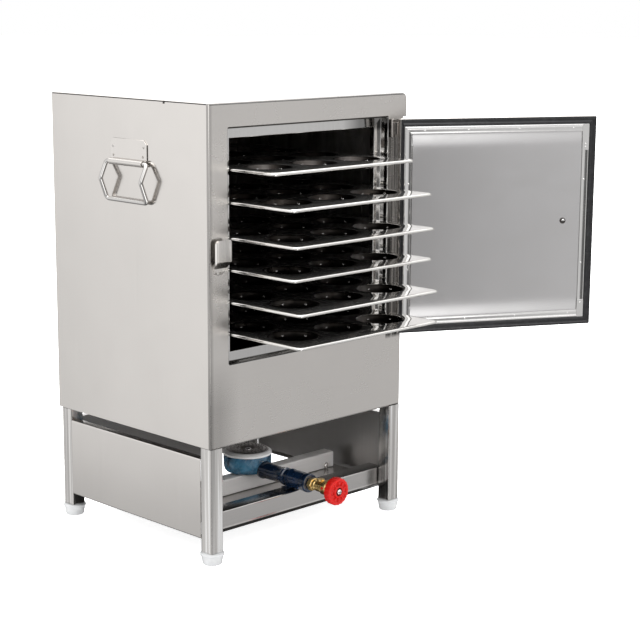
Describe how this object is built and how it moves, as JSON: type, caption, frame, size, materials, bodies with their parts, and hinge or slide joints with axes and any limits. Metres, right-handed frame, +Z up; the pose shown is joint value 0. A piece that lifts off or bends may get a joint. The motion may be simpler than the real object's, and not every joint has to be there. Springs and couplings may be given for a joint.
{
  "type": "idli steamer",
  "caption": "Insulated steel cabinet steamer on a legged stand, with a side-hung door, sliding dimpled trays for steamed cakes, lifting bails and a gas burner below.",
  "frame": {"origin": "centre of the bounding box's bottom, on the floor under the feet, measured with the door open and the trays drawn as in the rest pose", "axes": "+Z up, +X to the cabinet's right as seen by someone facing its doorway, +Y towards the back; the doorway faces -Y"},
  "size_m": [0.7306, 0.584, 0.7165],
  "materials": {
    "black_rubber": "matte",
    "brass": "turned, bright",
    "bright_steel": "polished",
    "cast_alloy": "cast, polished",
    "cast_grey": "cast, satin",
    "mineral_wool": "matte fibre",
    "red_plastic": "gloss",
    "steel": "brushed, satin",
    "teal_enamel": "gloss enamel paint",
    "tray_metal": "satin",
    "white_plastic": "gloss"
  },
  "bodies": {
    "cabinet": {"front_frame": "steel", "door_rebate": "steel", "left_panel": "steel", "right_panel": "steel", "top_panel": "steel", "back_panel": "steel", "base_ring": "steel", "water_tank": "steel", "inner_left": "steel", "inner_right": "steel", "inner_back": "steel", "inner_ceiling": "steel", "wall_insulation": "mineral_wool", "top_insulation": "mineral_wool", "left_rack": "bright_steel", "right_rack": "bright_steel", "hinge_bracket_top": "steel", "hinge_bracket_bottom": "steel", "latch_keeper": "steel", "left_handle_plate": "steel", "right_handle_plate": "steel", "leg_front_left": "steel", "leg_front_right": "steel", "leg_rear_left": "steel", "leg_rear_right": "steel", "foot_front_left": "white_plastic", "foot_front_right": "white_plastic", "foot_rear_left": "white_plastic", "foot_rear_right": "white_plastic", "lower_panel_left": "steel", "lower_panel_right": "steel", "lower_panel_back": "steel", "burner_shelf": "steel", "burner_bar": "steel", "burner_body": "teal_enamel", "burner_cap": "cast_grey", "air_bell": "teal_enamel", "gas_valve": "brass"},
    "door": {"door_skin": "bright_steel", "door_liner": "bright_steel", "door_insulation": "mineral_wool", "door_gasket": "black_rubber", "gasket_retainer": "steel", "hinge_leaf_top": "steel", "hinge_leaf_bottom": "steel", "latch_pivot": "steel"},
    "latch": {"latch_lever": "cast_alloy"},
    "left_bail": {"left_handle_bail": "bright_steel"},
    "right_bail": {"right_handle_bail": "bright_steel"},
    "knob": {"gas_knob": "red_plastic", "knob_screw": "bright_steel"},
    "tray_1": {"tray_1": "tray_metal"},
    "tray_2": {"tray_2": "tray_metal"},
    "tray_3": {"tray_3": "tray_metal"},
    "tray_4": {"tray_4": "tray_metal"},
    "tray_5": {"tray_5": "tray_metal"},
    "tray_6": {"tray_6": "tray_metal"}
  },
  "joints": [
    {"name": "door_hinge", "type": "hinge", "parent": "cabinet", "child": "door", "pos_m": [0.05443, -0.10202, 0.5], "axis": [0, 0, 1], "range_deg": [-151, 29]},
    {"name": "latch_turn", "type": "hinge", "parent": "door", "child": "latch", "pos_m": [0.31514, -0.2511, 0.5], "axis": [-0.4848, -0.8746, 0], "range_deg": [-62, 20]},
    {"name": "tray_1_slide", "type": "slide", "parent": "cabinet", "child": "tray_1", "axis": [0, -1, 0], "range_m": [-0.1452, 0.02805]},
    {"name": "tray_2_slide", "type": "slide", "parent": "cabinet", "child": "tray_2", "axis": [0, -1, 0], "range_m": [-0.1852, 0.03573]},
    {"name": "tray_3_slide", "type": "slide", "parent": "cabinet", "child": "tray_3", "axis": [0, -1, 0], "range_m": [-0.1922, 0.03707]},
    {"name": "tray_4_slide", "type": "slide", "parent": "cabinet", "child": "tray_4", "axis": [0, -1, 0], "range_m": [-0.1877, 0.03621]},
    {"name": "tray_5_slide", "type": "slide", "parent": "cabinet", "child": "tray_5", "axis": [0, -1, 0], "range_m": [-0.2017, 0.0389]},
    {"name": "tray_6_slide", "type": "slide", "parent": "cabinet", "child": "tray_6", "axis": [0, -1, 0], "range_m": [-0.2012, 0.0388]},
    {"name": "left_bail_swing", "type": "hinge", "parent": "cabinet", "child": "left_bail", "pos_m": [-0.34957, 0.08998, 0.6165], "axis": [0, 1, 0], "range_deg": [0, 150]},
    {"name": "right_bail_swing", "type": "hinge", "parent": "cabinet", "child": "right_bail", "pos_m": [0.09183, 0.08998, 0.6165], "axis": [0, -1, 0], "range_deg": [0, 150]},
    {"name": "gas_knob_turn", "type": "hinge", "parent": "cabinet", "child": "knob", "pos_m": [-0.12887, -0.15802, 0.0905], "axis": [0, -1, 0], "range_deg": [-90, 0]}
  ],
  "couplings": [
    {"joint": "tray_1_slide", "follows": "door_hinge", "m_per_rad": 0.055019},
    {"joint": "tray_2_slide", "follows": "door_hinge", "m_per_rad": 0.070197},
    {"joint": "tray_3_slide", "follows": "door_hinge", "m_per_rad": 0.072853},
    {"joint": "tray_4_slide", "follows": "door_hinge", "m_per_rad": 0.071145},
    {"joint": "tray_5_slide", "follows": "door_hinge", "m_per_rad": 0.076458},
    {"joint": "tray_6_slide", "follows": "door_hinge", "m_per_rad": 0.076268}
  ]
}
